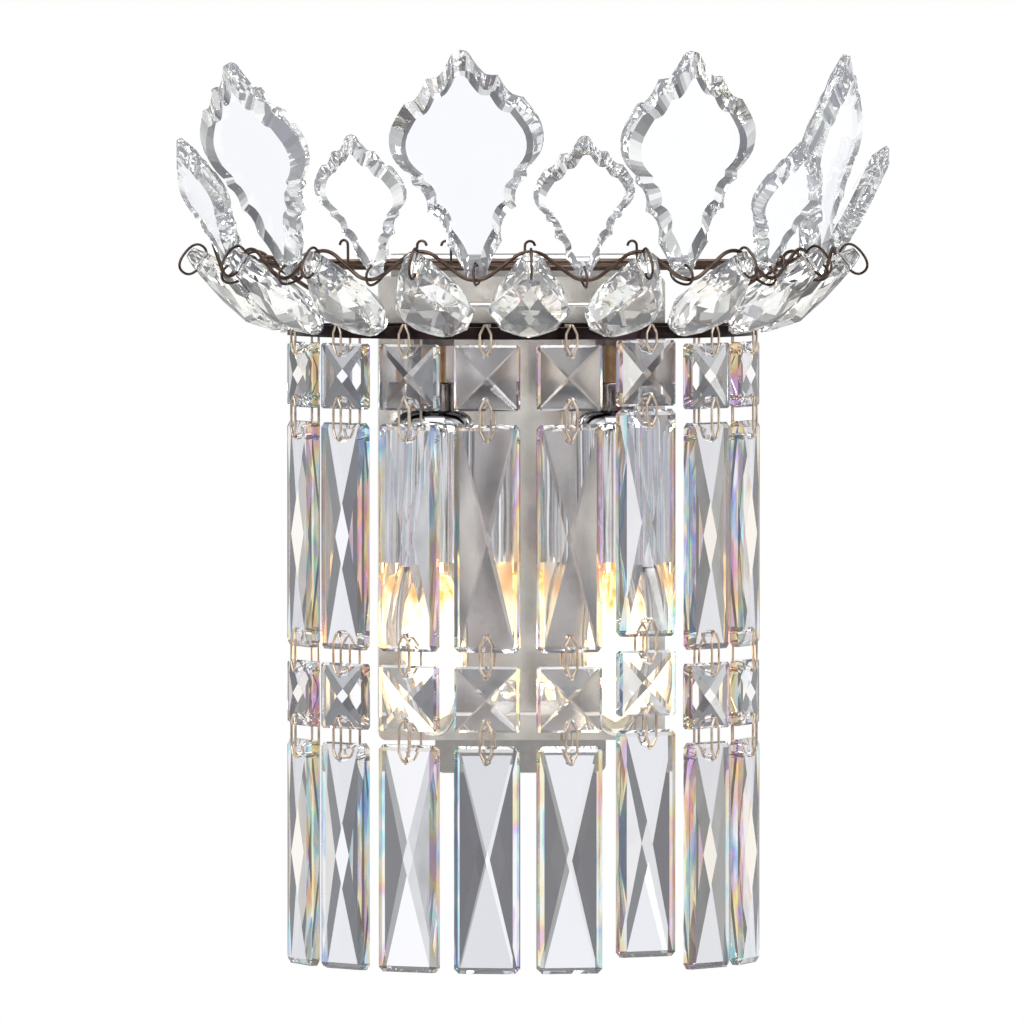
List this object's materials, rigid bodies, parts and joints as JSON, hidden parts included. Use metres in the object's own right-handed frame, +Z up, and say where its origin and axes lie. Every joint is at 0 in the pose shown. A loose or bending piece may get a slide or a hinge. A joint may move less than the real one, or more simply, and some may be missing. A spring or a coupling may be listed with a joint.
{
  "type": "wall sconce",
  "caption": "Half-round wall sconce with chrome lamp cups behind hung strands of square and long cut crystals, under a crown of leaf and almond crystals on dark wire.",
  "frame": {"origin": "midway between the two wall screw holes, on the back of the wall plate", "axes": "+Z up, -Y out of the wall toward the viewer, +X to the right seen from the front"},
  "size_m": [0.241, 0.1391, 0.3082],
  "materials": {
    "crystal": "polished",
    "clip_wire": "satin",
    "plate_steel": "satin",
    "pan_nickel": "polished",
    "dark_bronze": "satin",
    "tube_brass": "satin",
    "dark_nickel": "polished",
    "cup_chrome": "polished",
    "socket_black": "matte",
    "bulb_glass": "clear",
    "filament": "glowing",
    "terminal_white": "matte"
  },
  "bodies": {
    "sconce": {"almonds": "crystal", "back_pan": "pan_nickel", "ball_nuts": "pan_nickel", "bulb_bases": "tube_brass", "bulb_filaments": "filament", "bulb_glasses": "bulb_glass", "crown_frame": "dark_bronze", "crown_leaf_1": "crystal", "crown_leaf_2": "crystal", "crown_leaf_3": "crystal", "crown_leaf_4": "crystal", "crown_leaf_5": "crystal", "crown_leaf_6": "crystal", "crown_leaf_7": "crystal", "crown_leaf_8": "crystal", "crown_leaf_9": "crystal", "crown_wave_wire": "dark_bronze", "crystal_ties": "dark_bronze", "hanging_ring": "dark_bronze", "lamp_bridge": "dark_bronze", "lamp_cups": "cup_chrome", "lamp_nipples": "tube_brass", "lamp_nuts": "dark_nickel", "lamp_sockets": "socket_black", "pan_studs": "plate_steel", "ring_screws": "dark_bronze", "terminal_block": "terminal_white", "wall_plate": "plate_steel"},
    "strand_1": {"strand_1_squares": "crystal", "strand_1_upper_bar": "crystal", "strand_1_clips": "clip_wire"},
    "strand_1_lower": {"strand_1_lower_bar": "crystal"},
    "strand_2": {"strand_2_squares": "crystal", "strand_2_upper_bar": "crystal", "strand_2_clips": "clip_wire"},
    "strand_2_lower": {"strand_2_lower_bar": "crystal"},
    "strand_3": {"strand_3_squares": "crystal", "strand_3_upper_bar": "crystal", "strand_3_clips": "clip_wire"},
    "strand_3_lower": {"strand_3_lower_bar": "crystal"},
    "strand_4": {"strand_4_squares": "crystal", "strand_4_upper_bar": "crystal", "strand_4_clips": "clip_wire"},
    "strand_4_lower": {"strand_4_lower_bar": "crystal"},
    "strand_5": {"strand_5_squares": "crystal", "strand_5_upper_bar": "crystal", "strand_5_clips": "clip_wire"},
    "strand_5_lower": {"strand_5_lower_bar": "crystal"},
    "strand_6": {"strand_6_squares": "crystal", "strand_6_upper_bar": "crystal", "strand_6_clips": "clip_wire"},
    "strand_6_lower": {"strand_6_lower_bar": "crystal"},
    "strand_7": {"strand_7_squares": "crystal", "strand_7_upper_bar": "crystal", "strand_7_clips": "clip_wire"},
    "strand_7_lower": {"strand_7_lower_bar": "crystal"},
    "strand_8": {"strand_8_squares": "crystal", "strand_8_upper_bar": "crystal", "strand_8_clips": "clip_wire"},
    "strand_8_lower": {"strand_8_lower_bar": "crystal"}
  },
  "joints": [
    {"name": "strand_1_swing", "type": "hinge", "parent": "sconce", "child": "strand_1", "pos_m": [-0.07424, -0.04702, 0.0642], "axis": [-0.342, 0.9397, 0], "range_deg": [-2.5, 8]},
    {"name": "strand_1_lower_swing", "type": "hinge", "parent": "strand_1", "child": "strand_1_lower", "pos_m": [-0.07424, -0.04702, -0.0815], "axis": [-0.342, 0.9397, 0], "range_deg": [-2.5, 10]},
    {"name": "strand_2_swing", "type": "hinge", "parent": "sconce", "child": "strand_2", "pos_m": [-0.06052, -0.07078, 0.0642], "axis": [-0.6428, 0.766, 0], "range_deg": [-2.5, 8]},
    {"name": "strand_2_lower_swing", "type": "hinge", "parent": "strand_2", "child": "strand_2_lower", "pos_m": [-0.06052, -0.07078, -0.0815], "axis": [-0.6428, 0.766, 0], "range_deg": [-2.5, 10]},
    {"name": "strand_3_swing", "type": "hinge", "parent": "sconce", "child": "strand_3", "pos_m": [-0.0395, -0.08842, 0.0642], "axis": [-0.866, 0.5, 0], "range_deg": [-2.5, 8]},
    {"name": "strand_3_lower_swing", "type": "hinge", "parent": "strand_3", "child": "strand_3_lower", "pos_m": [-0.0395, -0.08842, -0.0815], "axis": [-0.866, 0.5, 0], "range_deg": [-2.5, 10]},
    {"name": "strand_4_swing", "type": "hinge", "parent": "sconce", "child": "strand_4", "pos_m": [-0.01372, -0.0978, 0.0642], "axis": [-0.9848, 0.1736, 0], "range_deg": [-2.5, 8]},
    {"name": "strand_4_lower_swing", "type": "hinge", "parent": "strand_4", "child": "strand_4_lower", "pos_m": [-0.01372, -0.0978, -0.0815], "axis": [-0.9848, 0.1736, 0], "range_deg": [-2.5, 10]},
    {"name": "strand_5_swing", "type": "hinge", "parent": "sconce", "child": "strand_5", "pos_m": [0.01372, -0.0978, 0.0642], "axis": [-0.9848, -0.1736, 0], "range_deg": [-2.5, 8]},
    {"name": "strand_5_lower_swing", "type": "hinge", "parent": "strand_5", "child": "strand_5_lower", "pos_m": [0.01372, -0.0978, -0.0815], "axis": [-0.9848, -0.1736, 0], "range_deg": [-2.5, 10]},
    {"name": "strand_6_swing", "type": "hinge", "parent": "sconce", "child": "strand_6", "pos_m": [0.0395, -0.08842, 0.0642], "axis": [-0.866, -0.5, 0], "range_deg": [-2.5, 8]},
    {"name": "strand_6_lower_swing", "type": "hinge", "parent": "strand_6", "child": "strand_6_lower", "pos_m": [0.0395, -0.08842, -0.0765], "axis": [-0.866, -0.5, 0], "range_deg": [-2.5, 10]},
    {"name": "strand_7_swing", "type": "hinge", "parent": "sconce", "child": "strand_7", "pos_m": [0.06052, -0.07078, 0.0642], "axis": [-0.6428, -0.766, 0], "range_deg": [-2.5, 8]},
    {"name": "strand_7_lower_swing", "type": "hinge", "parent": "strand_7", "child": "strand_7_lower", "pos_m": [0.06052, -0.07078, -0.0815], "axis": [-0.6428, -0.766, 0], "range_deg": [-2.5, 10]},
    {"name": "strand_8_swing", "type": "hinge", "parent": "sconce", "child": "strand_8", "pos_m": [0.07424, -0.04702, 0.0642], "axis": [-0.342, -0.9397, 0], "range_deg": [-2.5, 8]},
    {"name": "strand_8_lower_swing", "type": "hinge", "parent": "strand_8", "child": "strand_8_lower", "pos_m": [0.07424, -0.04702, -0.0815], "axis": [-0.342, -0.9397, 0], "range_deg": [-2.5, 10]}
  ]
}
